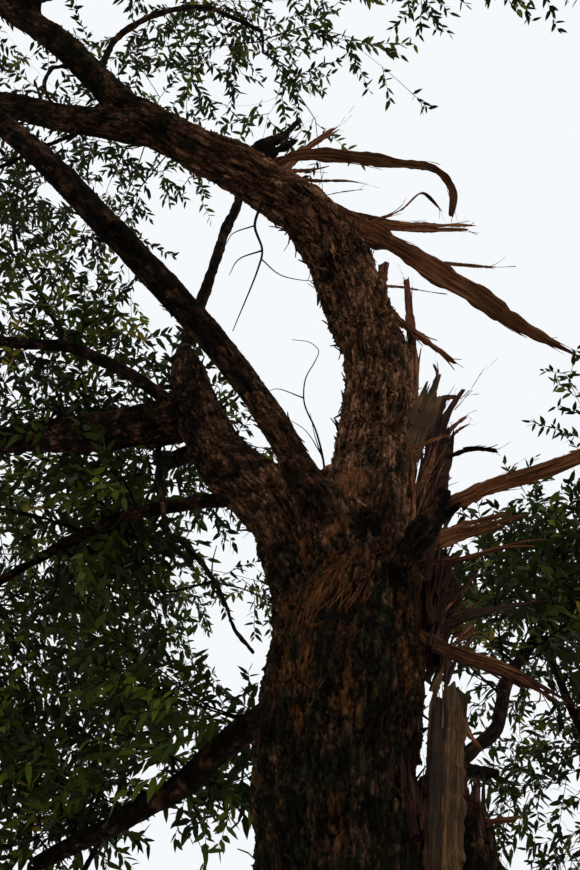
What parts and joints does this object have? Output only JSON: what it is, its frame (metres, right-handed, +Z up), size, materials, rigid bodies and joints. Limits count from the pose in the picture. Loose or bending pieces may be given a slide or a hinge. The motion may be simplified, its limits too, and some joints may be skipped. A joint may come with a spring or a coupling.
{
  "type": "storm-torn broadleaf tree",
  "caption": "Tall broadleaf tree in leaf with furrowed fibrous bark, whose right-hand leader has torn away and left a ragged trunk half, a pale slab and long splinters.",
  "frame": {"origin": "middle of the flat cut under the trunk, at ground level", "axes": "+Z up along the trunk; -Y is the side that the picture was taken from; +X is the torn side"},
  "size_m": [9.6208, 9.3931, 14.0805],
  "materials": {
    "bark": "rough, deeply furrowed fibrous bark, grey-brown with rusty furrows",
    "torn_wood": "raw torn wood, reddish brown, fibrous and ragged",
    "pale_wood": "weathered pale split wood with the grain lengthwise",
    "foliage": "dark green lance-shaped leaves, half matt, on fine brown twigs"
  },
  "bodies": {
    "root": {"arch_bough": "bark", "back_bough": "bark", "back_left_bough": "bark", "back_right_bough": "bark", "broken_stub": "torn_wood", "crown_right_bough": "bark", "crown_top_bough": "bark", "dark_splinter": "torn_wood", "flat_splinter": "torn_wood", "foliage_arch": "foliage", "foliage_back": "foliage", "foliage_back_left": "foliage", "foliage_back_right": "foliage", "foliage_crown_right": "foliage", "foliage_front": "foliage", "foliage_front_left": "foliage", "foliage_high_left": "foliage", "foliage_inner": "foliage", "foliage_left": "foliage", "foliage_left_side": "foliage", "foliage_low_left": "foliage", "foliage_right_low": "foliage", "foliage_top": "foliage", "foliage_upper_left": "foliage", "frayed_splinter": "torn_wood", "front_bough": "bark", "front_outer_bough": "bark", "front_top_bough": "bark", "hooked_splinter": "torn_wood", "leader_high": "bark", "leader_low": "bark", "leader_lower": "bark", "leader_upper": "bark", "left_bough": "bark", "left_inner_bough": "bark", "left_low_bough": "bark", "left_outer_bough": "bark", "left_side_bough": "bark", "long_splinter": "torn_wood", "pale_blade": "pale_wood", "pale_slab": "pale_wood", "peeled_strip": "torn_wood", "red_strip": "torn_wood", "right_low_bough": "bark", "split_arc": "torn_wood", "stub_blade": "torn_wood", "stub_twig": "bark", "thin_splinter": "torn_wood", "torn_knot": "bark", "torn_limb": "bark", "torn_limb_splinter": "torn_wood", "torn_plate_high": "torn_wood", "torn_plate_low": "torn_wood", "trunk": "bark", "upright_splinter": "torn_wood"}
  },
  "joints": []
}
